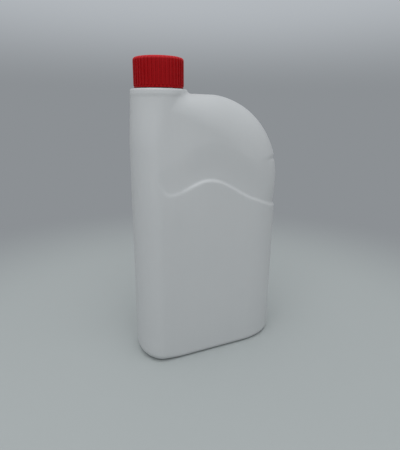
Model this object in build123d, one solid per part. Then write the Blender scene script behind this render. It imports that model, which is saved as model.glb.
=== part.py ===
from build123d import *
import os

# A one litre blow-moulded bottle with an offset neck and a ribbed screw cap.
# X runs along the broad width with the neck at -X, the front faces -Y, Z is up,
# and the origin is on the table under the middle of the body.

# Bottle body
body_width = 124.5
body_depth = 48.0
body_top = 210.0
wall = 0.9
neck_side_length = 16.0
narrow_side_flat = 4.0
base_edge_round = 7.0

# Shoulder: a quarter ellipse from the flat top down to the grip side
shoulder_length = 64.5
shoulder_drop = 67.5

# Base: a shallow push-up inside a flat standing ring
standing_ring = 4.0
push_up = 2.0
push_up_slope = 6.0
push_up_foot_roundness = 11 / 13
push_up_top_roundness = 4 / 7

# Grip: a shallow waved band round the grip side, open to front and back
grip_depth = 1.7
grip_end_reach = 9.0
grip_end_x = -40.5
grip_end_low = 138.2
grip_end_high = 163.4
grip_crest_x = -8.5
grip_crest_low = 147.3
grip_crest_high = 178.6
grip_ramp_x = 29.5
grip_ramp_low = 130.2
grip_ramp_high = 165.3
grip_side_low = 120.7
grip_side_high = 162.0
grip_end_slope = 0.7

# Neck and collar
neck_inset = 22.25
neck_bore = 23.5
neck_wall = 2.3
neck_height = 17.8
collar_radius = 19.8
collar_height = 2.8
collar_edge_round = 1.1
pedestal_radius = 28.5
pedestal_height = 35.0

# Cap and its sealing disc
cap_diameter = 36.0
cap_wall = 1.9
cap_top_wall = 1.5
cap_collar_gap = 0.5
cap_edge_round = 1.9
rib_count = 40
rib_depth = 0.7
rib_width = 1.4
liner_thickness = 1.4
liner_clearance = 0.3

# How close to a plane counts as lying on it
near = 0.001

# Places that follow from the sizes above
half_width = body_width / 2
half_depth = body_depth / 2
edge_round = half_depth - narrow_side_flat / 2
push_up_half_depth = half_depth - base_edge_round - standing_ring
push_up_foot_round = push_up_half_depth * push_up_foot_roundness
push_up_top_round = (push_up_half_depth - push_up_slope) * push_up_top_roundness
neck_x = neck_inset - half_width
collar_top = body_top + collar_height
neck_radius = neck_bore / 2 + neck_wall
neck_top = collar_top + neck_height
cap_bottom = collar_top + cap_collar_gap
cap_inside_top = neck_top + liner_thickness
cap_top = cap_inside_top + cap_top_wall
cap_bore_radius = cap_diameter / 2 - rib_depth - cap_wall
liner_radius = cap_bore_radius - liner_clearance
neck_axis = Pos(neck_x, 0, 0)


def front_outline(inset):
    """Bottle as a slab seen from the front, its long edges rounded; it runs on past the neck side."""
    right = half_width - inset
    top = body_top - inset
    step = body_top - pedestal_height
    spare = -body_width
    shoulder_x = right - shoulder_length + inset
    shoulder_z = top - shoulder_drop + inset
    outline = Polyline(
        (shoulder_x, top),
        (neck_x, top),
        (neck_x, step),
        (spare, step),
        (spare, inset),
        (right, inset),
        (right, shoulder_z),
    )
    shoulder = EllipticalCenterArc(
        (shoulder_x, shoulder_z), right - shoulder_x, top - shoulder_z, start_angle=0, arc_size=90
    )
    face = make_face(Plane.XZ * (outline + shoulder))
    slab = extrude(face, half_depth - inset, both=True)
    long_edges = slab.edges().filter_by(
        lambda edge: abs(edge.center().Y) > half_depth - inset - near
        and edge.center().Z > inset + near
        and edge.center().X > neck_x + near
    )
    return fillet(long_edges, edge_round - inset)


def plan_outline(inset):
    """Bottle as a face seen from above, with its half-ellipse neck side; it runs on past the grip side."""
    depth = half_depth - inset
    round_x = neck_side_length - half_width
    spare = body_width
    sides = Polyline((round_x, depth), (spare, depth), (spare, -depth), (round_x, -depth))
    end = EllipticalCenterArc(
        (round_x, 0), neck_side_length - inset, depth, start_angle=90, arc_size=180
    )
    return Pos(0, 0, inset) * make_face(sides + end)


def plan_column(inset):
    """Bottle as a column of its plan; it runs on past the top."""
    return extrude(plan_outline(inset), body_top)


def pedestal(inset):
    """Cone that carries the neck, from the body's faces up to the collar."""
    foot = pedestal_radius - inset
    head = collar_radius - inset
    cone = Cone(foot, head, pedestal_height, align=(Align.CENTER, Align.CENTER, Align.MAX))
    cone = neck_axis * Pos(0, 0, body_top - inset) * cone
    return cone & plan_column(inset)


def grip_prism(grow):
    """Outline of the grip seen from the front, cut right through from front to back."""
    past_side = half_width + body_depth
    low = Spline(
        (past_side, grip_side_low - grow),
        (half_width, grip_side_low - grow),
        (grip_ramp_x, grip_ramp_low - grow),
        (grip_crest_x, grip_crest_low - grow),
        (grip_end_x, grip_end_low - grow),
        tangents=((-1, 0), (-1, 0)),
    )
    high = Spline(
        (grip_end_x, grip_end_high + grow),
        (grip_crest_x, grip_crest_high + grow),
        (grip_ramp_x, grip_ramp_high + grow),
        (half_width, grip_side_high + grow),
        (past_side, grip_side_high + grow),
        tangents=((1, grip_end_slope), (1, 0)),
    )
    end_middle = (grip_end_x - grip_end_reach - grow, (grip_end_low + grip_end_high) / 2)
    end = ThreePointArc(low @ 1, end_middle, high @ 0)
    side = Line(high @ 1, low @ 0)
    face = make_face(Plane.XZ * (low + end + high + side))
    return extrude(face, body_depth, both=True)


def hull(inset):
    """Body without its grip and push-up."""
    return (front_outline(inset) & plan_column(inset)) + pedestal(inset)


def base_push_up(grow):
    """Shallow frustum under the base, inside the standing ring."""
    reach = base_edge_round + standing_ring - grow
    foot = RectangleRounded(body_width - 2 * reach, body_depth - 2 * reach, push_up_foot_round)
    top = Pos(0, 0, push_up + grow) * RectangleRounded(
        body_width - 2 * reach - 2 * push_up_slope,
        body_depth - 2 * reach - 2 * push_up_slope,
        push_up_top_round,
    )
    return loft([foot, top])


def body(inset):
    """Whole outer form moved inwards by an inset: the outside at 0, the cavity at the wall."""
    shape = hull(inset)
    rim = shape.edges().filter_by(lambda edge: edge.bounding_box().max.Z < inset + near)
    shape = fillet(rim, base_edge_round - inset)
    shape -= grip_prism(inset) - hull(grip_depth + inset)
    return shape - base_push_up(inset)


def bottle():
    """Blow-moulded shell with its collar and neck."""
    collar = neck_axis * Pos(0, 0, body_top) * Cylinder(
        collar_radius, collar_height, align=(Align.CENTER, Align.CENTER, Align.MIN)
    )
    collar = fillet(collar.edges().sort_by(Axis.Z)[-1], collar_edge_round)
    neck = neck_axis * Pos(0, 0, body_top) * Cylinder(
        neck_radius, neck_top - body_top, align=(Align.CENTER, Align.CENTER, Align.MIN)
    )
    bore = neck_axis * Pos(0, 0, body_top - pedestal_height) * Cylinder(
        neck_bore / 2, neck_top - body_top + pedestal_height, align=(Align.CENTER, Align.CENTER, Align.MIN)
    )
    outside = body(0) + (collar + neck)
    return outside - (body(wall) + bore)


def cap():
    """Ribbed screw cap, open below."""
    root_radius = cap_diameter / 2 - rib_depth
    height = cap_top - cap_bottom
    rib = Pos(root_radius, 0) * Rectangle(2 * rib_depth, rib_width)
    section = Circle(root_radius) + PolarLocations(0, rib_count) * rib
    blank = extrude(section, height)
    envelope = Cylinder(cap_diameter / 2, height, align=(Align.CENTER, Align.CENTER, Align.MIN))
    envelope = fillet(envelope.edges().sort_by(Axis.Z)[-1], cap_edge_round)
    hollow = Cylinder(cap_bore_radius, cap_inside_top - cap_bottom, align=(Align.CENTER, Align.CENTER, Align.MIN))
    return neck_axis * Pos(0, 0, cap_bottom) * ((blank & envelope) - hollow)


def cap_liner():
    """Soft sealing disc under the cap's top, seated on the neck's rim."""
    disc = Cylinder(liner_radius, liner_thickness, align=(Align.CENTER, Align.CENTER, Align.MIN))
    return neck_axis * Pos(0, 0, neck_top) * disc


os.makedirs("parts", exist_ok=True)
export_step(bottle(), "parts/bottle.step")
export_step(cap(), "parts/cap.step")
export_step(cap_liner(), "parts/cap_liner.step")
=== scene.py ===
"""Looks of a flat one litre plastic bottle with an offset neck and a red ribbed screw cap."""

import math

import bmesh
import bpy
import numpy as np
from bpy.props import FloatProperty, FloatVectorProperty, IntProperty, PointerProperty
from mathutils import Matrix, Vector


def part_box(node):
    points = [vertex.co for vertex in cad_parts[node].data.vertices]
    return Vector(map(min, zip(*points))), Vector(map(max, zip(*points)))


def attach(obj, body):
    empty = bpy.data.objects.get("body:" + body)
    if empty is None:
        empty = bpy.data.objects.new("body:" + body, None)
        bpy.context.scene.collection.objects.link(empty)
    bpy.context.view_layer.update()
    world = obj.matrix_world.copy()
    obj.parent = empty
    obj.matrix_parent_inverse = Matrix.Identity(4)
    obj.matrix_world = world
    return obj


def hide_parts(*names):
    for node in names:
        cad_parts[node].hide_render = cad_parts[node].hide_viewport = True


bl_info = {
    "name": "Flat plastic bottle",
    "version": (1, 0, 0),
    "blender": (4, 5, 0),
    "location": "View3D > Sidebar > Bottle",
    "description": "Builds a blown bottle, its screw cap and its sealing disc round a packed frame",
    "category": "Add Mesh",
}

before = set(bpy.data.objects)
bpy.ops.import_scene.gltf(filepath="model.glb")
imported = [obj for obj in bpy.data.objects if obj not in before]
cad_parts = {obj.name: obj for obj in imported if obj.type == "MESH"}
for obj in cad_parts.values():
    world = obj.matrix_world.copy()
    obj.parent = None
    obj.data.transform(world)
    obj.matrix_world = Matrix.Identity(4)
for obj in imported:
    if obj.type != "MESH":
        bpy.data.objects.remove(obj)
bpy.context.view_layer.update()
bottle_low, bottle_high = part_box("bottle")
cap_low, cap_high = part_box("cap")
liner_low, liner_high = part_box("cap_liner")

MM = 0.001
TINY = 1e-6
SHARP_DEGREES = 38
NECK_AXIS = Vector(((cap_low.x + cap_high.x) / 2, (cap_low.y + cap_high.y) / 2, 0))


# Settings

def length(name, description, millimetres):
    """A length that a user may change, given in millimetres and kept in metres."""
    return FloatProperty(
        name=name, description=description, default=millimetres * MM, unit="LENGTH", precision=5
    )


def place(name, description, millimetres):
    """A point of the front view, across and up, given in millimetres and kept in metres."""
    return FloatVectorProperty(
        name=name,
        description=description,
        default=[value * MM for value in millimetres],
        size=len(millimetres),
        subtype="XYZ",
        unit="LENGTH",
        precision=5,
    )


def fraction(name, description, default):
    """A share of a whole that a user may change."""
    return FloatProperty(name=name, description=description, default=default, subtype="FACTOR")


def tint(name, description, default):
    """A colour that a user may change."""
    return FloatVectorProperty(
        name=name, description=description, default=default, size=3, subtype="COLOR", min=0, max=1
    )


class BodySizes(bpy.types.PropertyGroup):
    """Sizes of the blown body."""

    width: length("Width", "Broad width of the body", (bottle_high.x - bottle_low.x) / MM)
    depth: length("Depth", "Front to back of the body", (bottle_high.y - bottle_low.y) / MM)
    top: length("Top", "Height of the flat top beside the neck", 210)
    wall: length("Wall", "Thickness of the blown wall", 0.9)
    edge_round: length("Edge round", "Depth of the round between the broad faces and the grip side", 22)
    edge_reach: length("Edge reach", "How far that round reaches over the broad faces", 36)
    edge_round_neck: length("Edge round at neck", "Depth of that round beside the neck", 8)
    edge_reach_neck: length("Edge reach at neck", "How far that round reaches beside the neck", 14)
    edge_growth: length("Edge growth", "Distance from the neck's axis at which the round is full", 62)
    neck_side: length("Neck side", "Length of the half ellipse on the neck side", 16)
    shoulder_length: length("Shoulder length", "Shoulder's reach along the top", 64.5)
    shoulder_drop: length("Shoulder drop", "Shoulder's reach down the grip side", 67.5)
    base_round: length("Base round", "Round under the broad faces and the grip side", 4.5)
    base_end_round: length("Base end round", "Round under the neck side", 8)
    standing_ring: length("Standing ring", "Width of the flat that the bottle stands on", 4)
    push_up: length("Push-up", "Height of the hollow under the base", 2)
    push_up_slope: length("Push-up slope", "Width of the slope round the push-up", 6)
    pedestal_foot: length("Pedestal foot", "Height where the broad faces start to draw in to the neck", 115)
    side_foot: length("Side foot", "Height where the neck side starts to draw in to the neck", 172)
    neck_spread: length("Neck spread", "How far past the neck's axis the broad faces draw in with it", 40)
    blend: length("Blend", "Soft join between the neck's foot and the shoulder", 4)
    blend_reach: length("Blend reach", "Distance from the neck's axis at which that join is full", 14)


class GripSizes(bpy.types.PropertyGroup):
    """Outline of the shallow grip, seen from the front."""

    sunk: length("Sunk", "Depth of the grip", 1.4)
    end_reach: length("End reach", "How far the grip's round end reaches past its last points", 9)
    low_end: place("Low end", "Lower edge where the round end starts", (-40.5, 138.2))
    low_crest: place("Low crest", "Highest place of the lower edge", (-8.5, 147.3))
    low_ramp: place("Low ramp", "Lower edge on its way down", (29.5, 130.2))
    low_side: place("Low side", "Lower edge at the grip side", (62.25, 120.7))
    high_end: place("High end", "Upper edge where the round end starts", (-40.5, 163.4))
    high_crest: place("High crest", "Highest place of the upper edge", (-8.5, 178.6))
    high_ramp: place("High ramp", "Upper edge on its way down", (29.5, 165.3))
    high_side: place("High side", "Upper edge at the grip side", (62.25, 165.5))
    low_slope: length("Low slope", "Width of the slope along the lower edge", 2.5)
    side_slope: length("Side slope", "Width of the upper slope where it reaches the grip side", 5)
    swell_start: length("Swell start", "Where the palm swell starts across the width", 34)
    swell_full: length("Swell full", "Where the palm swell is full", 56)
    swell_low: length("Swell low", "Height where the palm swell starts", 124)
    swell_high: length("Swell high", "Height where the palm swell ends", 162)
    swell_rise: length("Swell rise", "Height over which the swell grows from its lower end", 14)
    swell_drop: length("Swell drop", "Height over which the swell falls at its upper end", 3)
    end_fade: length("End fade", "Length over which the grip deepens from its round end", 26)
    end_share: fraction("End share", "Share of the depth at the round end", 0.35)
    swell_share: fraction("Swell share", "Share of the depth that the swell fills", 0.7)
    run_out: fraction("Run-out", "Share of the height at which the grip starts to run out upwards", 0.2)
    end_slope: FloatProperty(
        name="End slope", description="Upper edge's slope where the round end starts", default=0.7
    )


class NeckSizes(bpy.types.PropertyGroup):
    """Sizes of the collar, the neck and its thread."""

    collar_radius: length("Collar radius", "Radius of the low collar under the cap", 19.8)
    collar_stretch: length("Collar stretch", "How far the collar is drawn out along the width", 0.9)
    collar_top: length("Collar top", "Height of the collar's top", 212.8)
    collar_round: length("Collar round", "Round on the collar's top edge", 1.1)
    collar_foot: length("Collar foot", "How far the collar reaches down into the body", 1.3)
    collar_flare: length("Collar flare", "Soft join at the collar's foot", 0.8)
    radius: length("Neck radius", "Outer radius of the neck", 14.05)
    bore: length("Neck bore", "Inner radius of the neck", 11.75)
    bore_depth: length("Bore depth", "How far the bore reaches down past the body's top", 35)
    rim_round: length("Rim round", "Round on the neck's rim", 0.5)
    thread_pitch: length("Thread pitch", "Rise of the thread in one turn", 4)
    thread_turns: FloatProperty(name="Thread turns", description="Turns of the thread", default=1.6)
    thread_start: length("Thread start", "Height where the neck's thread starts", 217.2)
    thread_root: length("Thread root", "Width of the ridge where it leaves the wall", 2.3)
    thread_tip: length("Thread tip", "Width of the ridge at its tip", 0.9)
    thread_height: length("Thread height", "How far the ridge stands out", 0.95)


class CapSizes(bpy.types.PropertyGroup):
    """Sizes of the screw cap and its sealing disc."""

    radius: length("Radius", "Radius over the ribs", (cap_high.x - cap_low.x) / 2 / MM)
    bottom: length("Bottom", "Height of the cap's lower edge", cap_low.z / MM)
    top: length("Top", "Height of the cap's top", cap_high.z / MM)
    inside_top: length("Inside top", "Height of the cap's inner top", liner_high.z / MM)
    bore: length("Bore", "Inner radius of the skirt", 15.4)
    edge_round: length("Edge round", "Round over the cap's top edge", 1.9)
    band: length("Band", "Height of the plain band under the ribs", 1.2)
    band_depth: length("Band depth", "How far the plain band stands out from the rib roots", 0.35)
    rib_count: IntProperty(name="Rib count", description="Ribs round the skirt", default=40, min=3)
    rib_depth: length("Rib depth", "How far a rib stands out", 0.7)
    rib_width: length("Rib width", "Width of a rib at its root", 1.5)
    top_dish: length("Top dish", "Depth of the shallow dish in the cap's top", 0.25)
    thread_start: length("Thread start", "Height where the cap's thread starts", 215.2)
    liner_ring: length("Liner ring", "Depth of the ring that the neck presses into the disc", 0.12)


class Finishes(bpy.types.PropertyGroup):
    """Colours of the plastics, the foam and the stage, with painted light on the cap's rim and on the
    backdrop.
    """

    bottle: tint("Bottle plastic", "White polyethylene", (0.605, 0.615, 0.62))
    bottle_dense: tint("Bottle plastic, thick", "White where the wall is thicker", (0.57, 0.585, 0.595))
    cap: tint("Cap plastic", "Red of the cap", (0.325, 0.002, 0.004))
    # Painted highlight: the paler red along the cap's top rim stands in for light catching its rounded
    # edge.
    cap_painted_highlight: tint("Cap plastic, pale", "Red along the rim, where it is rubbed", (0.62, 0.032, 0.039))
    foam: tint("Sealing foam", "White closed-cell foam", (0.80, 0.80, 0.77))
    foam_dark: tint("Sealing foam, dark", "Pores of the foam", (0.66, 0.66, 0.63))
    floor: tint("Floor", "Pale sheet that the bottle stands on", (0.47, 0.50, 0.50))
    room: tint("Room light", "Even light of the room", (0.49, 0.505, 0.515))
    # Painted light and shade: to the camera the backdrop glows in these colours, darker low down and
    # lighter near its top, as if lit from above.
    backdrop: tint("Backdrop", "Sheet behind the bottle", (0.262, 0.279, 0.296))
    backdrop_painted_light: tint("Backdrop, high", "Sheet behind the bottle, near its top", (0.45, 0.478, 0.507))


# Node trees

class Wire:
    """A socket that arithmetic works on: each step adds its Math node."""

    def __init__(self, board, socket):
        self.board = board
        self.socket = socket

    def _math(self, operation, first, second):
        return self.board.add("ShaderNodeMath", {"operation": operation}, {0: first, 1: second})["Value"]

    def __add__(self, other):
        return self._math("ADD", self, other)

    def __radd__(self, other):
        return self._math("ADD", other, self)

    def __rsub__(self, other):
        return self._math("SUBTRACT", other, self)

    def __mul__(self, other):
        return self._math("MULTIPLY", self, other)

    def __truediv__(self, other):
        return self._math("DIVIDE", self, other)

    def least(self, other):
        """The smaller of two values."""
        return self._math("MINIMUM", self, other)

    def most(self, other):
        """The larger of two values."""
        return self._math("MAXIMUM", self, other)


class Board:
    """A node tree with one way to add a node."""

    def __init__(self, tree):
        self.tree = tree

    def add(self, kind, settings=None, sockets=None):
        """Adds a node: its settings first, then the values or links of its sockets. Returns its outputs."""
        node = self.tree.nodes.new(kind)
        for name, value in (settings or {}).items():
            setattr(node, name, value)
        for name, value in (sockets or {}).items():
            if isinstance(value, Wire):
                self.tree.links.new(value.socket, node.inputs[name])
            else:
                node.inputs[name].default_value = value
        return {socket.name: Wire(self, socket) for socket in node.outputs if socket.enabled}

    def mix(self, share, first, second):
        """A colour between two others."""
        node = self.add("ShaderNodeMix", {"data_type": "RGBA"}, {"Factor": share})["Result"].socket.node
        for socket, value in zip([s for s in node.inputs if s.type == "RGBA"], (first, second)):
            if isinstance(value, Wire):
                self.tree.links.new(value.socket, socket)
            else:
                socket.default_value = (*value, 1)
        return Wire(self, [s for s in node.outputs if s.type == "RGBA"][0])

    def rise(self, value, low, high):
        """A smooth rise from 0 at low to 1 at high."""
        return self.add(
            "ShaderNodeMapRange",
            {"interpolation_type": "SMOOTHSTEP"},
            {"Value": value, "From Min": low, "From Max": high},
        )["Result"]

    def bump(self, strength, distance, height):
        """A normal that a height bends."""
        sockets = {"Strength": strength, "Distance": distance, "Height": height}
        return self.add("ShaderNodeBump", {}, sockets)["Normal"]

    def noise(self, where, scale, detail=2):
        """Cloudy value from 0 to 1."""
        sockets = {"Vector": where, "Scale": scale, "Detail": detail}
        return self.add("ShaderNodeTexNoise", {}, sockets)["Fac"]


def new_material(name, build):
    """A material whose Principled shader gets its links and values from build(board, where)."""
    material = bpy.data.materials.new(name)
    material.use_nodes = True
    tree = material.node_tree
    tree.nodes.clear()
    board = Board(tree)
    where = board.add("ShaderNodeTexCoord")["Object"]
    surface = board.add("ShaderNodeBsdfPrincipled", {}, build(board, where))["BSDF"]
    board.add("ShaderNodeOutputMaterial", {}, {"Surface": surface})
    return material


def bottle_plastic(board, where):
    """Satin polyethylene: cloudy, with faint upright flow lines and a blasted mould's grain."""
    finish = bpy.context.scene.bottle_finishes
    cloud = board.noise(where, scale=24, detail=3)
    drawn = board.add("ShaderNodeMapping", {}, {"Vector": where, "Scale": (260, 260, 7)})["Vector"]
    lines = board.noise(drawn, scale=1)
    grain = board.noise(where, scale=1900)
    height = grain * 0.7 + lines * 0.3 + cloud * 0.8
    return {
        "Base Color": board.mix(cloud * 0.7 + lines * 0.3, finish.bottle, finish.bottle_dense),
        "Roughness": 0.34 + cloud * 0.12 + grain * 0.08,
        "IOR": 1.54,
        "Normal": board.bump(strength=0.22, distance=0.08 * MM, height=height),
    }


def cap_plastic(board, where):
    """Semi-gloss red moulding with a fine grain, paler flow clouds and a painted highlight: paler red along
    the top rim.
    """
    finish = bpy.context.scene.bottle_finishes
    cloud = board.noise(where, scale=70, detail=3)
    grain = board.noise(where, scale=2600)
    height = board.add("ShaderNodeSeparateXYZ", {}, {"Vector": where})["Z"]
    # Painted highlight: the rim mask turns the red paler towards the cap's top edge, where light catches
    # it.
    painted_highlight_start, painted_highlight_full = cap_high.z - 2.4 * MM, cap_high.z - 1.0 * MM
    rim = board.rise(height, painted_highlight_start, painted_highlight_full)
    return {
        "Base Color": board.mix(cloud * 0.3 + rim * 0.7, finish.cap, finish.cap_painted_highlight),
        "Roughness": 0.30 + cloud * 0.10 + grain * 0.06,
        "IOR": 1.5,
        "Specular IOR Level": 0.07,
        "Normal": board.bump(strength=0.18, distance=0.06 * MM, height=grain + cloud * 0.5),
    }


def liner_foam(board, where):
    """Closed-cell foam with fine pores."""
    finish = bpy.context.scene.bottle_finishes
    pores = board.add(
        "ShaderNodeTexVoronoi", {"feature": "F1"}, {"Vector": where, "Scale": 2400}
    )["Distance"]
    cloud = board.noise(where, scale=160)
    return {
        "Base Color": board.mix(cloud * 0.4 + pores * 0.6, finish.foam, finish.foam_dark),
        "Roughness": 0.78 + cloud * 0.12,
        "Normal": board.bump(strength=0.5, distance=0.1 * MM, height=pores),
    }


def seen_directly(board):
    """1 for what the camera, a reflection or clear plastic shows, 0 for light that falls on the bottle."""
    ray = board.add("ShaderNodeLightPath")
    return ray["Is Camera Ray"].most(ray["Is Glossy Ray"]).most(ray["Is Transmission Ray"])


def pale_sheet():
    """Matt sheet that turns, further out, into a backdrop which holds no light back and glows to the camera
    with painted light, darker low down and lighter towards its top.
    """
    finish = bpy.context.scene.bottle_finishes
    floor_end, backdrop_start = 0.20, 0.48
    painted_light_low, painted_light_high = 0.24, 0.46
    worn = [value * 0.95 for value in finish.floor]
    material = bpy.data.materials.new("pale_sheet")
    material.use_nodes = True
    material.node_tree.nodes.clear()
    board = Board(material.node_tree)
    where = board.add("ShaderNodeTexCoord")["Object"]
    flat = board.add("ShaderNodeVectorMath", {"operation": "MULTIPLY"}, {0: where, 1: (1, 1, 0)})["Vector"]
    reach = board.add("ShaderNodeVectorMath", {"operation": "LENGTH"}, {0: flat})["Value"]
    height = board.add("ShaderNodeSeparateXYZ", {}, {"Vector": where})["Z"]
    tooth = board.noise(where, scale=900)
    cloud = board.noise(where, scale=3)
    floor = board.add(
        "ShaderNodeBsdfPrincipled",
        {},
        {
            "Base Color": board.mix(cloud * 0.6 + tooth * 0.4, finish.floor, worn),
            "Roughness": 0.72 + tooth * 0.1,
            "Specular IOR Level": 0.3,
        },
    )["BSDF"]
    # Painted light: the backdrop glows to the camera, darker low down and lighter towards its top, as if
    # lit from above.
    colour = board.mix(board.rise(height, painted_light_low, painted_light_high), finish.backdrop, finish.backdrop_painted_light)
    glow = board.add("ShaderNodeEmission", {}, {"Color": colour})["Emission"]
    clear = board.add("ShaderNodeBsdfTransparent")["BSDF"]
    seen = seen_directly(board)
    backdrop = board.add("ShaderNodeMixShader", {}, {"Fac": seen, 1: clear, 2: glow})["Shader"]
    far = board.rise(reach, floor_end, backdrop_start)
    surface = board.add("ShaderNodeMixShader", {}, {"Fac": far, 1: floor, 2: backdrop})["Shader"]
    board.add("ShaderNodeOutputMaterial", {}, {"Surface": surface})
    return material


# Meshes

def new_piece(name, mesh, material, body, slot, *nodes):
    """Links a finished mesh as a piece that rides on a body, gives it a material and stands for nodes. The
    slot is not used.
    """
    mesh.materials.clear()
    mesh.materials.append(material)
    piece = bpy.data.objects.new(name, mesh)
    bpy.context.scene.collection.objects.link(piece)
    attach(piece, body)
    if nodes:
        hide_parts(*nodes)
    return piece


def shade(mesh):
    """Smooth shading, sharp where faces turn by more than an angle."""
    mesh.polygons.foreach_set("use_smooth", [True] * len(mesh.polygons))
    mesh.set_sharp_from_angle(angle=math.radians(SHARP_DEGREES))


def soften_beyond(mesh, radius):
    """Takes the sharp edges off whatever lies further than a radius from the neck's axis."""
    points = np.empty(3 * len(mesh.vertices), np.float32)
    mesh.vertices.foreach_get("co", points)
    ends = np.empty(2 * len(mesh.edges), np.int32)
    mesh.edges.foreach_get("vertices", ends)
    across, along = (points.reshape(-1, 3)[:, :2] - NECK_AXIS.xy).T
    near_axis = np.hypot(across, along)[ends].reshape(-1, 2).max(1) < radius
    flags = mesh.attributes["sharp_edge"].data
    sharp = np.empty(len(mesh.edges), bool)
    flags.foreach_get("value", sharp)
    flags.foreach_set("value", sharp & near_axis)


def mesh_of(name, points, faces):
    """A mesh from points and faces."""
    mesh = bpy.data.meshes.new(name)
    mesh.from_pydata([tuple(p) for p in points], [], [tuple(f) for f in faces])
    mesh.update()
    return mesh


def turned(name, profile, segments):
    """Closed mesh: an outline of (radius, height), the solid on its left, turned round the neck's axis."""
    points, rings, faces = [], [], []
    for radius, height in profile:
        count = segments if radius > 0 else 1
        rings.append([len(points) + i for i in range(count)])
        for i in range(count):
            angle = 2 * math.pi * i / segments
            points.append(NECK_AXIS + Vector((radius * math.cos(angle), radius * math.sin(angle), height)))
    for low, high in zip(rings, rings[1:] + rings[:1]):
        for i in range(segments):
            j = (i + 1) % segments
            corners = [low[i % len(low)], low[j % len(low)], high[j % len(high)], high[i % len(high)]]
            face = list(dict.fromkeys(corners))
            if len(face) > 2:
                faces.append(face)
    return mesh_of(name, points, faces)


def arc(centre, radius, start, end, steps):
    """Points of (radius, height) along an arc, in degrees."""
    angles = [math.radians(start + (end - start) * i / steps) for i in range(steps + 1)]
    return [(centre[0] + radius * math.cos(a), centre[1] + radius * math.sin(a)) for a in angles]


def plain_mesh(name, mesh, modify):
    """The mesh that modifiers, added by modify(object), make of another mesh."""
    work = bpy.data.objects.new(name, mesh)
    bpy.context.scene.collection.objects.link(work)
    modify(work)
    made = bpy.data.meshes.new_from_object(work.evaluated_get(bpy.context.evaluated_depsgraph_get()))
    work.modifiers.clear()
    bpy.data.objects.remove(work)
    made.name = name
    return made


def joined(name, *meshes):
    """One mesh from several."""
    together = bmesh.new()
    for mesh in meshes:
        together.from_mesh(mesh)
    made = bpy.data.meshes.new(name)
    together.to_mesh(made)
    together.free()
    return made


# Geometry node trees

def new_tree(name, inputs):
    """A geometry node tree with named inputs. Returns its board and the inputs by name."""
    tree = bpy.data.node_groups.new(name, "GeometryNodeTree")
    tree.interface.new_socket("Geometry", in_out="INPUT", socket_type="NodeSocketGeometry")
    for label, kind in inputs.items():
        tree.interface.new_socket(label, in_out="INPUT", socket_type=kind)
    tree.interface.new_socket("Geometry", in_out="OUTPUT", socket_type="NodeSocketGeometry")
    board = Board(tree)
    return board, board.add("NodeGroupInput")


def close_tree(board, geometry, material):
    """Ends a tree in real geometry with a material."""
    real = board.add("GeometryNodeRealizeInstances", {}, {"Geometry": geometry})["Geometry"]
    done = board.add("GeometryNodeSetMaterial", {}, {"Geometry": real, "Material": material})["Geometry"]
    board.add("NodeGroupOutput", {}, {"Geometry": done})


def rib_ring_tree():
    """One rib repeated round an axis."""
    board, given = new_tree(
        "Rib ring",
        {"Rib Count": "NodeSocketInt", "Axis": "NodeSocketVector", "Plastic": "NodeSocketMaterial"},
    )
    count = given["Rib Count"]
    points = board.add("GeometryNodePoints", {}, {"Count": count, "Position": given["Axis"]})["Points"]
    turn = board.add("GeometryNodeInputIndex")["Index"] * (2 * math.pi) / count
    spin = board.add("ShaderNodeCombineXYZ", {}, {"Z": turn})["Vector"]
    ring = board.add(
        "GeometryNodeInstanceOnPoints",
        {},
        {"Points": points, "Instance": given["Geometry"], "Rotation": spin},
    )["Instances"]
    close_tree(board, ring, given["Plastic"])
    return board.tree


def thread_tree():
    """A right-handed ridge that winds up a wall and runs out at both ends."""
    board, given = new_tree(
        "Thread ridge",
        {
            "Wall Radius": "NodeSocketFloat",
            "Pitch": "NodeSocketFloat",
            "Turns": "NodeSocketFloat",
            "Start": "NodeSocketVector",
            "Root Width": "NodeSocketFloat",
            "Tip Width": "NodeSocketFloat",
            "Ridge Height": "NodeSocketFloat",
            "Facing": "NodeSocketVector",
            "Plastic": "NodeSocketMaterial",
        },
    )
    helix = board.add(
        "GeometryNodeCurveSpiral",
        {},
        {
            "Resolution": 64,
            "Rotations": given["Turns"],
            "Start Radius": given["Wall Radius"],
            "End Radius": given["Wall Radius"],
            "Height": given["Pitch"] * given["Turns"],
            "Reverse": True,
        },
    )["Curve"]
    helix = board.add("GeometryNodeSetCurveNormal", {"mode": "Z_UP"}, {"Curve": helix})["Curve"]
    steepness, thinnest = 10, 0.08
    along = board.add("GeometryNodeSplineParameter")["Factor"]
    taper = (along * steepness).least((1 - along) * steepness).least(1.0).most(thinnest)
    ridge = board.add(
        "GeometryNodeCurvePrimitiveQuadrilateral",
        {"mode": "TRAPEZOID"},
        {
            "Bottom Width": given["Root Width"],
            "Top Width": given["Tip Width"],
            "Offset": 0.0,
            "Height": given["Ridge Height"] * 2,
        },
    )["Curve"]
    facing = {"Geometry": ridge, "Rotation": given["Facing"]}
    ridge = board.add("GeometryNodeTransform", {}, facing)["Geometry"]
    swept = board.add(
        "GeometryNodeCurveToMesh",
        {},
        {"Curve": helix, "Profile Curve": ridge, "Scale": taper, "Fill Caps": True},
    )["Mesh"]
    start = {"Geometry": swept, "Translation": given["Start"]}
    placed = board.add("GeometryNodeTransform", {}, start)["Geometry"]
    close_tree(board, placed, given["Plastic"])
    return board.tree


def run_tree(name, mesh, tree, values):
    """The plain mesh that a tree makes of a mesh, with its inputs set by identifier."""

    def modify(work):
        modifier = work.modifiers.new(name, "NODES")
        modifier.node_group = tree
        for item in tree.interface.items_tree:
            if item.in_out == "INPUT" and item.name in values:
                modifier[item.identifier] = values[item.name]

    return plain_mesh(name, mesh, modify)


# The bottle's form as a distance field: below zero inside, in metres

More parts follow.
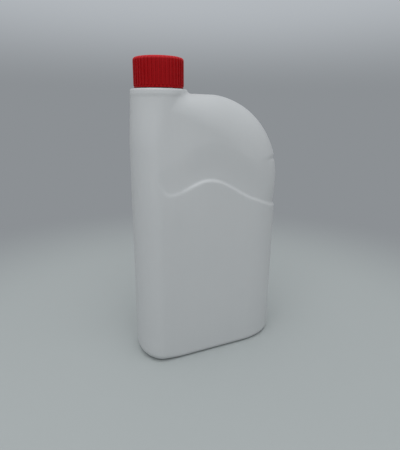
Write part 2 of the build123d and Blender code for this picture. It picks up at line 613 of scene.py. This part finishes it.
def smooth_step(low, high, value):
    """0 below low, 1 above high, and a smooth rise between."""
    share = np.clip((value - low) / (high - low), 0, 1)
    return share * share * (3 - 2 * share)


def round_meet(first, second, radius):
    """Where two forms overlap, with their common edge rounded."""
    return np.minimum(np.maximum(first, second), -radius) + np.hypot(
        np.maximum(first + radius, 0), np.maximum(second + radius, 0)
    )


def round_join(first, second, radius):
    """Two forms together, with a soft join."""
    share = np.clip(0.5 + 0.5 * (second - first) / radius, 0, 1)
    return second + (first - second) * share - radius * share * (1 - share)


def ellipse(across, up, half_width, half_height):
    """Distance to an ellipse, exact on its outline."""
    least_slope = 1e-9
    level = np.hypot(across / half_width, up / half_height)
    slope = np.hypot(across / half_width**2, up / half_height**2)
    return (level - 1) * level / np.maximum(slope, least_slope)


def oval_meet(first, second, reach, drop):
    """Where two forms overlap, with their common edge an oval that reaches further over one of them."""
    over_first = np.maximum(first + reach, 0)
    over_second = np.maximum(second + drop, 0)
    curved = ellipse(over_first, over_second, reach, drop)
    return np.where((over_first > 0) | (over_second > 0), curved, np.maximum(first, second))


def waved(points, first_slope, last_slope, across):
    """Height of a smooth edge through points of (across, up)."""
    xs, zs = np.array([tuple(p) for p in points]).T
    slopes = np.gradient(zs, xs)
    slopes[0], slopes[-1] = first_slope, last_slope
    i = np.clip(np.searchsorted(xs, across) - 1, 0, len(xs) - 2)
    run = xs[i + 1] - xs[i]
    t = np.clip((across - xs[i]) / run, 0, 1)
    start = (1 + 2 * t) * (1 - t) ** 2 * zs[i] + t * (1 - t) ** 2 * run * slopes[i]
    return start + t * t * (3 - 2 * t) * zs[i + 1] + t * t * (t - 1) * run * slopes[i + 1]


class BottleForm:
    """The blown body and its collar."""

    def __init__(self, body, grip, neck):
        self.body_sizes = body
        self.grip_sizes = grip
        self.neck_sizes = neck
        self.right = body.width / 2
        self.half_depth = body.depth / 2

    def outline(self, x, z):
        """Front view: the top and the grip side, joined by the shoulder."""
        sizes = self.body_sizes
        across = x - self.right + sizes.shoulder_length
        up = z - sizes.top + sizes.shoulder_drop
        plain = np.maximum(across - sizes.shoulder_length, up - sizes.shoulder_drop)
        curved = ellipse(
            np.maximum(across, TINY), np.maximum(up, TINY), sizes.shoulder_length, sizes.shoulder_drop
        )
        return np.where((across > 0) & (up > 0), curved, plain)

    def plan(self, x, y):
        """View from above: the broad faces and the half ellipse of the neck side."""
        sizes = self.body_sizes
        across = x + self.right - sizes.neck_side
        round_end = ellipse(np.minimum(across, 0), y, sizes.neck_side, self.half_depth)
        return np.where(across < 0, round_end, np.abs(y) - self.half_depth)

    def grip(self, x, z):
        """Share of the grip's depth at a place of the front view."""
        sizes = self.grip_sizes
        beyond = np.minimum(x - sizes.low_end[0], 0)
        within = np.maximum(x, sizes.low_end[0])
        low_points = (sizes.low_end, sizes.low_crest, sizes.low_ramp, sizes.low_side)
        high_points = (sizes.high_end, sizes.high_crest, sizes.high_ramp, sizes.high_side)
        low = waved(low_points, 0, 0, within)
        high = waved(high_points, sizes.end_slope, 0, within)
        middle, half = (low + high) / 2, (high - low) / 2
        inside = -ellipse(beyond, np.where(z == middle, TINY, z - middle), sizes.end_reach, half)
        at_side = smooth_step(sizes.swell_start, sizes.swell_full, x)
        slope = sizes.low_slope + (sizes.side_slope - sizes.low_slope) * smooth_step(0, half, z - middle)
        run_out = smooth_step(sizes.run_out, 1, (z - low) / (high - low)) * (1 - at_side)
        share = smooth_step(0, 1, inside / slope) * (1 - run_out)
        swell = smooth_step(0, sizes.swell_rise, z - sizes.swell_low)
        swell = swell * smooth_step(0, sizes.swell_drop, sizes.swell_high - z)
        from_end = smooth_step(0, sizes.end_fade, x - sizes.low_end[0])
        deepened = sizes.end_share + (1 - sizes.end_share) * from_end
        return share * deepened * (1 - sizes.swell_share * swell * at_side)

    def neck_end(self, x, y, z, depth, beyond):
        """The neck side: a half ellipse that grows into the collar's outline near the top."""
        sizes = self.body_sizes
        end = self.neck_sizes.collar_radius + self.neck_sizes.collar_stretch
        drawn_in = smooth_step(sizes.side_foot, self.neck_sizes.collar_top, z)
        foot = sizes.neck_side - self.right
        across = x - foot - (NECK_AXIS.x - foot) * drawn_in
        reach = sizes.neck_side + (end - sizes.neck_side) * drawn_in
        return np.where(across < 0, ellipse(np.minimum(across, 0), y, reach, depth), beyond)

    def body(self, x, y, z):
        """The body without its collar."""
        sizes = self.body_sizes
        face = np.abs(y) - self.half_depth
        plan = self.plan(x, y)
        beside = x - NECK_AXIS.x
        grown = smooth_step(0, sizes.edge_growth, beside)
        edge_reach = sizes.edge_reach_neck + (sizes.edge_reach - sizes.edge_reach_neck) * grown
        edge_round = sizes.edge_round_neck + (sizes.edge_round - sizes.edge_round_neck) * grown
        collar = self.neck_sizes.collar_radius
        drawn_in = smooth_step(sizes.pedestal_foot, sizes.top, z)
        near_neck = drawn_in * (1 - smooth_step(0, sizes.neck_spread, beside))
        drawn_face = face + (self.half_depth - collar) * near_neck
        pedestal_radius = self.half_depth + (collar - self.half_depth) * drawn_in
        neck_side = self.neck_end(x, y, z, pedestal_radius, drawn_face)
        # The oval edge starts at the neck's axis: on the neck side the faces run straight up to the collar
        outline = self.outline(x, z)
        edged = oval_meet(outline, drawn_face, edge_reach, edge_round)
        hull = np.maximum(np.where(beside > 0, edged, np.maximum(outline, drawn_face)), neck_side)
        pedestal = np.maximum(np.hypot(beside, y) - pedestal_radius, z - sizes.top)
        least_blend = 0.01 * MM
        blend = sizes.blend * smooth_step(0, sizes.blend_reach, beside) + least_blend
        form = np.maximum(round_join(hull, pedestal, blend), plan)
        form = form + self.grip_sizes.sunk * self.grip(x, z)
        section = np.maximum(plan, oval_meet(x - self.right, face, sizes.edge_reach, sizes.edge_round))
        ring = sizes.base_round + sizes.standing_ring
        raised = sizes.push_up * smooth_step(ring, ring + sizes.push_up_slope, -section)
        end_start, end_full = 0.5 * self.right, 0.9 * self.right
        at_end = smooth_step(end_start, end_full, -x)
        base_round = sizes.base_round + (sizes.base_end_round - sizes.base_round) * at_end
        return round_meet(form, raised - z, base_round)

    def outside(self, x, y, z):
        """The body with its collar."""
        sizes = self.neck_sizes
        beside = x - NECK_AXIS.x
        from_axis = np.hypot(beside - np.clip(beside, -sizes.collar_stretch, sizes.collar_stretch), y)
        collar = round_meet(from_axis - sizes.collar_radius, z - sizes.collar_top, sizes.collar_round)
        collar = np.maximum(collar, self.body_sizes.top - sizes.collar_foot - z)
        return round_join(self.body(x, y, z), collar, sizes.collar_flare)

    def cavity(self, x, y, z):
        """The room inside the wall."""
        return self.body(x, y, z) + self.body_sizes.wall


def skin_of(name, field, low, high, step, rounds, pulls=2):
    """Closed mesh of quads where a field passes through zero, evened out on the surface."""
    axes = [np.arange(a, b + step, step) for a, b in zip(low, high)]
    inside = field(*np.meshgrid(*axes, indexing="ij")) < 0
    corners = np.zeros([len(axis) - 1 for axis in axes], np.int8)
    across, along, up = corners.shape
    for i in (0, 1):
        for j in (0, 1):
            for k in (0, 1):
                corners += inside[i: i + across, j: j + along, k: k + up]
    mixed = (corners > 0) & (corners < 8)
    index = np.full(corners.shape, -1)
    index[mixed] = np.arange(mixed.sum())
    points = np.stack([axis[at] + step / 2 for axis, at in zip(axes, np.nonzero(mixed))], 1)
    quads = []
    for axis in range(3):
        order = [axis, (axis + 1) % 3, (axis + 2) % 3]
        sides, cells = inside.transpose(order), index.transpose(order)
        below, above = sides[:-1, 1:-1, 1:-1], sides[1:, 1:-1, 1:-1]
        i, j, k = np.nonzero(below != above)
        quad = np.stack([cells[i, j, k], cells[i, j + 1, k], cells[i, j + 1, k + 1], cells[i, j, k + 1]], 1)
        flipped = above[i, j, k]
        quad[flipped] = quad[flipped][:, ::-1]
        quads.append(quad)
    quads = np.concatenate(quads)
    starts = quads.ravel()
    ends = np.roll(quads, -1, 1).ravel()
    count = len(points)
    neighbours = np.bincount(starts, minlength=count) + np.bincount(ends, minlength=count)
    for turn in range(rounds):
        if turn:
            sums = [
                np.bincount(starts, value[ends], count) + np.bincount(ends, value[starts], count)
                for value in points.T
            ]
            points = (points + np.stack(sums, 1) / neighbours[:, None]) / 2
        for _ in range(pulls):
            points = onto_surface(field, points, step)
    return mesh_of(name, points, quads)


def onto_surface(field, points, step):
    """Points moved to where a field is zero, by at most a step."""
    nudge, flattest = 0.02 * step, 0.05
    slope = np.stack(
        [
            (field(*(points + nudge * axis).T) - field(*(points - nudge * axis).T)) / (2 * nudge)
            for axis in np.eye(3)
        ],
        1,
    )
    steep = np.maximum((slope**2).sum(1), flattest)
    away = np.clip(field(*points.T) / steep, -step, step)
    return points - away[:, None] * slope


# Operators

class BuildBottle(bpy.types.Operator):
    """Builds the blown shell with its neck, and the thread on the neck"""

    bl_idname = "bottle.build_shell"
    bl_label = "Bottle shell"

    def execute(self, context):
        scene = context.scene
        body, neck = scene.bottle_body, scene.bottle_neck
        form = BottleForm(body, scene.bottle_grip, neck)
        plastic = new_material("bottle_plastic", bottle_plastic)
        margin = 3 * MM
        skin_step, room_step = 1.1 * MM, 2.1 * MM
        # The bore's facets differ from the neck's, so that no two of their edges meet
        neck_facets, bore_facets = 128, 125
        low = (bottle_low.x - margin, bottle_low.y - margin, -margin)
        high = (bottle_high.x + margin, bottle_high.y + margin, neck.collar_top + margin)
        skin = skin_of("bottle_skin", form.outside, low, high, skin_step, rounds=10)
        room = skin_of("bottle_room", form.cavity, low, high, room_step, rounds=6)
        top = bottle_high.z
        rim = neck.rim_round
        spout = [(0, body.top - body.wall), (neck.radius, body.top - body.wall)]
        spout += arc((neck.radius - rim, top - rim), rim, 0, 90, 4) + [(0, top)]
        flare = neck.bore + rim * 5 / 3
        bore = [(0, body.top - neck.bore_depth), (neck.bore, body.top - neck.bore_depth)]
        bore += [(neck.bore, top - rim), (neck.bore + rim / 3, top - rim / 3)]
        bore += [(flare, top + rim / 3), (flare, top + margin), (0, top + margin)]
        tools = []
        for name, mesh in (
            ("neck_spout", turned("neck_spout", spout, neck_facets)),
            ("bottle_room", room),
            ("neck_bore", turned("neck_bore", bore, bore_facets)),
        ):
            tools.append(bpy.data.objects.new(name, mesh))
            scene.collection.objects.link(tools[-1])

        def cut(work):
            for tool, operation in zip(tools, ("UNION", "DIFFERENCE", "DIFFERENCE")):
                modifier = work.modifiers.new(tool.name, "BOOLEAN")
                modifier.object = tool
                modifier.operation = operation
                modifier.solver = "MANIFOLD"

        shell = plain_mesh("bottle_shell", skin, cut)
        for tool in tools:
            bpy.data.objects.remove(tool)
        if len(shell.polygons) < len(skin.polygons):
            raise RuntimeError("the bottle's shell lost its skin when its neck was joined")
        shade(shell)
        soften_beyond(shell, neck.radius + rim)
        new_piece("bottle_shell", shell, plastic, "bottle", "bottle_plastic", "bottle")
        thread = run_tree(
            "neck_thread",
            bpy.data.meshes.new("neck_thread_start"),
            thread_tree(),
            {
                "Wall Radius": neck.radius,
                "Pitch": neck.thread_pitch,
                "Turns": neck.thread_turns,
                "Start": NECK_AXIS + Vector((0, 0, neck.thread_start)),
                "Root Width": neck.thread_root,
                "Tip Width": neck.thread_tip,
                "Ridge Height": neck.thread_height,
                "Facing": (0, 0, -math.pi / 2),
                "Plastic": plastic,
            },
        )
        shade(thread)
        new_piece("neck_thread", thread, plastic, "bottle", "bottle_plastic")
        return {"FINISHED"}


class BuildCap(bpy.types.Operator):
    """Builds the screw cap with its ribs and its inside thread"""

    bl_idname = "bottle.build_cap"
    bl_label = "Screw cap"

    def execute(self, context):
        scene = context.scene
        cap, neck = scene.bottle_cap, scene.bottle_neck
        plastic = new_material("cap_plastic", cap_plastic)
        root = cap.radius - cap.rib_depth
        band = root + cap.band_depth
        inner_round = cap.edge_round - cap.rib_depth
        lip, rim_width, facets = 0.3 * MM, 2.2 * MM, 160
        rim = root - rim_width
        dish = cap.top - cap.top_dish
        profile = [(0, cap.inside_top), (cap.bore, cap.inside_top), (cap.bore, cap.bottom + 2 * lip)]
        profile += [(cap.bore + lip, cap.bottom), (band - lip, cap.bottom), (band, cap.bottom + lip)]
        profile += [(band, cap.bottom + cap.band - lip), (root, cap.bottom + cap.band)]
        profile += arc((root - inner_round, cap.top - inner_round), inner_round, 0, 90, 6)
        profile += [(rim, cap.top), (rim - cap.top_dish, dish), (0, dish)]
        shell = turned("cap_shell", profile, facets)
        rib = self.rib(cap, root)
        ribs = run_tree(
            "cap_ribs",
            rib,
            rib_ring_tree(),
            {"Rib Count": cap.rib_count, "Axis": NECK_AXIS, "Plastic": plastic},
        )
        thread = run_tree(
            "cap_thread",
            bpy.data.meshes.new("cap_thread_start"),
            thread_tree(),
            {
                "Wall Radius": cap.bore,
                "Pitch": neck.thread_pitch,
                "Turns": neck.thread_turns,
                "Start": NECK_AXIS + Vector((0, 0, cap.thread_start)),
                "Root Width": neck.thread_root,
                "Tip Width": neck.thread_tip,
                "Ridge Height": neck.thread_height,
                "Facing": (0, 0, math.pi / 2),
                "Plastic": plastic,
            },
        )
        mesh = joined("screw_cap", shell, ribs, thread)
        shade(mesh)
        new_piece("screw_cap", mesh, plastic, "cap", "cap_plastic", "cap")
        return {"FINISHED"}

    def rib(self, cap, root):
        """One upright rib about the origin, with a rounded face and a top that follows the cap's edge."""
        foot_overlap, foot_rise, foot_share = 0.1 * MM, 0.5 * MM, 0.55
        root_depth, least_depth = 1.2 * MM, 0.4 * MM
        flank_depth, flank_share = 0.3 * MM, 0.86
        crown_depth, crown_share = 0.06 * MM, 0.5
        foot = cap.bottom + cap.band
        stations = [(foot - foot_overlap, root + foot_overlap, foot_share)]
        stations.append((foot + foot_rise, cap.radius, 1))
        edge_centre = (cap.radius - cap.edge_round, cap.top - cap.edge_round)
        for radius, height in arc(edge_centre, cap.edge_round, 0, 75, 5):
            stations.append((height, radius, 1))
        faces, points = [], []
        for height, reach, width_share in stations:
            half = cap.rib_width / 2 * width_share
            rounded = (
                (min(root - root_depth, reach - least_depth), -half),
                (reach - flank_depth, -half * flank_share),
                (reach - crown_depth, -half * crown_share),
            )
            for radius, side in rounded + ((reach, 0),) + tuple((r, -s) for r, s in rounded[::-1]):
                points.append((radius, side, height))
        ring = len(points) // len(stations)
        for level in range(len(stations) - 1):
            for i in range(ring):
                j = (i + 1) % ring
                a, b = level * ring, (level + 1) * ring
                faces.append((a + i, a + j, b + j, b + i))
        faces.append(tuple(range(ring))[::-1])
        faces.append(tuple(range(len(points) - ring, len(points))))
        return mesh_of("cap_rib", points, faces)


class BuildLiner(bpy.types.Operator):
    """Builds the sealing disc under the cap's top"""

    bl_idname = "bottle.build_liner"
    bl_label = "Sealing disc"

    def execute(self, context):
        scene = context.scene
        cap, neck = scene.bottle_cap, scene.bottle_neck
        radius = (liner_high.x - liner_low.x) / 2
        low, high = liner_low.z, liner_high.z
        edge, facets = 0.3 * MM, 96
        press = cap.liner_ring
        profile = [(0, low), (neck.bore - edge, low), (neck.bore, low + press), (neck.radius, low + press)]
        profile += [(neck.radius + edge, low)]
        profile += arc((radius - edge, low + edge), edge, -90, 0, 4)
        profile += arc((radius - edge, high - edge), edge, 0, 90, 4) + [(0, high)]
        mesh = turned("sealing_disc", profile, facets)
        shade(mesh)
        foam = new_material("liner_foam", liner_foam)
        new_piece("sealing_disc", mesh, foam, "liner", "liner_foam", "cap_liner")
        return {"FINISHED"}


class BuildStage(bpy.types.Operator):
    """Builds the pale sheet, the soft light and the camera"""

    bl_idname = "bottle.build_stage"
    bl_label = "Stage"

    def execute(self, context):
        scene = context.scene
        scene.view_settings.view_transform = "Standard"
        self.sheet(scene)
        self.light(scene)
        self.camera(scene)
        return {"FINISHED"}

    def sheet(self, scene):
        """A round floor that sweeps up into a wall on every side."""
        floor, bend, wall = 0.50, 0.20, 0.60
        profile = [(0, 0), (floor * 0.5, 0)]
        profile += arc((floor, bend), bend, -90, 0, 10) + [(floor + bend, wall)]
        points, faces, segments = [], [], 96
        for radius, height in profile:
            for i in range(segments):
                angle = 2 * math.pi * i / segments
                points.append((radius * math.cos(angle), radius * math.sin(angle), height))
        for level in range(len(profile) - 1):
            for i in range(segments):
                j = (i + 1) % segments
                a, b = level * segments, (level + 1) * segments
                faces.append((a + i, b + i, b + j, a + j))
        mesh = mesh_of("pale_sheet", points, faces)
        tidy = bmesh.new()
        tidy.from_mesh(mesh)
        bmesh.ops.remove_doubles(tidy, verts=tidy.verts, dist=TINY)
        bmesh.ops.recalc_face_normals(tidy, faces=tidy.faces)
        tidy.to_mesh(mesh)
        tidy.free()
        mesh.polygons.foreach_set("use_smooth", [True] * len(mesh.polygons))
        mesh.materials.append(pale_sheet())
        sheet = bpy.data.objects.new("pale_sheet", mesh)
        scene.collection.objects.link(sheet)

    def light(self, scene):
        """One broad soft lamp, high up in front and to the left, and an even, slightly cool room that shows
        the camera the backdrop's painted light.
        """
        lamp = bpy.data.lights.new("front_softbox", "AREA")
        lamp.shape = "SQUARE"
        lamp.size = 1.1
        lamp.energy = 7.5
        lamp.color = (0.97, 0.99, 1.0)
        stand = Vector((-0.27, -0.435, 1.2))
        holder = bpy.data.objects.new("front_softbox", lamp)
        holder.matrix_world = Matrix.Translation(stand) @ stand.to_track_quat("Z", "Y").to_matrix().to_4x4()
        scene.collection.objects.link(holder)
        world = bpy.data.worlds.new("soft_room")
        world.use_nodes = True
        world.node_tree.nodes.clear()
        board = Board(world.node_tree)
        finish = scene.bottle_finishes
        # Painted light: camera rays see the backdrop's lit colour as the sky beyond the wall, and light
        # rays get the room colour.
        colour = board.mix(seen_directly(board), finish.room, finish.backdrop_painted_light)
        glow = board.add("ShaderNodeBackground", {}, {"Color": colour})["Background"]
        board.add("ShaderNodeOutputWorld", {}, {"Surface": glow})
        scene.world = world

    def camera(self, scene):
        """The photograph's view: its heading, tilt, roll, aim and distance."""
        heading, tilt, roll = (math.radians(value) for value in (-24.55, 17.0, 0.56))
        aim = Vector((-0.00641, 0, 0.10675))
        distance = 0.312
        focal_pixels, long_side_pixels, sensor = 371.9, 450, 36
        back = Vector(
            (math.sin(heading) * math.cos(tilt), -math.cos(heading) * math.cos(tilt), math.sin(tilt))
        )
        right = (-back).cross(Vector((0, 0, 1))).normalized()
        up = right.cross(-back)
        turned_right = right * math.cos(roll) + up * math.sin(roll)
        turned_up = up * math.cos(roll) - right * math.sin(roll)
        lens = bpy.data.cameras.new("photo_camera")
        lens.sensor_width = sensor
        lens.lens = focal_pixels / long_side_pixels * sensor
        lens.clip_start, lens.clip_end = 0.01, 20
        camera = bpy.data.objects.new("photo_camera", lens)
        camera.matrix_world = Matrix.Translation(aim + back * distance) @ Matrix(
            (turned_right, turned_up, back)
        ).transposed().to_4x4()
        scene.collection.objects.link(camera)
        scene.camera = camera


class BottlePanel(bpy.types.Panel):
    """Lists the bottle's pieces and settings"""

    bl_idname = "VIEW3D_PT_bottle"
    bl_label = "Plastic bottle"
    bl_space_type = "VIEW_3D"
    bl_region_type = "UI"
    bl_category = "Bottle"

    def draw(self, context):
        for operator in OPERATORS:
            self.layout.operator(operator.bl_idname)
        for name in SETTINGS:
            box = self.layout.box()
            settings = getattr(context.scene, name)
            for label in settings.__annotations__:
                box.prop(settings, label)


OPERATORS = (BuildStage, BuildBottle, BuildCap, BuildLiner)
SETTINGS = {
    "bottle_body": BodySizes,
    "bottle_grip": GripSizes,
    "bottle_neck": NeckSizes,
    "bottle_cap": CapSizes,
    "bottle_finishes": Finishes,
}


def register():
    for group in (*SETTINGS.values(), *OPERATORS, BottlePanel):
        bpy.utils.register_class(group)
    for name, group in SETTINGS.items():
        setattr(bpy.types.Scene, name, PointerProperty(type=group))


def unregister():
    for name in SETTINGS:
        delattr(bpy.types.Scene, name)
    for group in reversed((*SETTINGS.values(), *OPERATORS, BottlePanel)):
        bpy.utils.unregister_class(group)


def main():
    register()
    bpy.ops.bottle.build_stage()
    bpy.ops.bottle.build_shell()
    bpy.ops.bottle.build_cap()
    bpy.ops.bottle.build_liner()


if __name__ == "__main__":
    main()
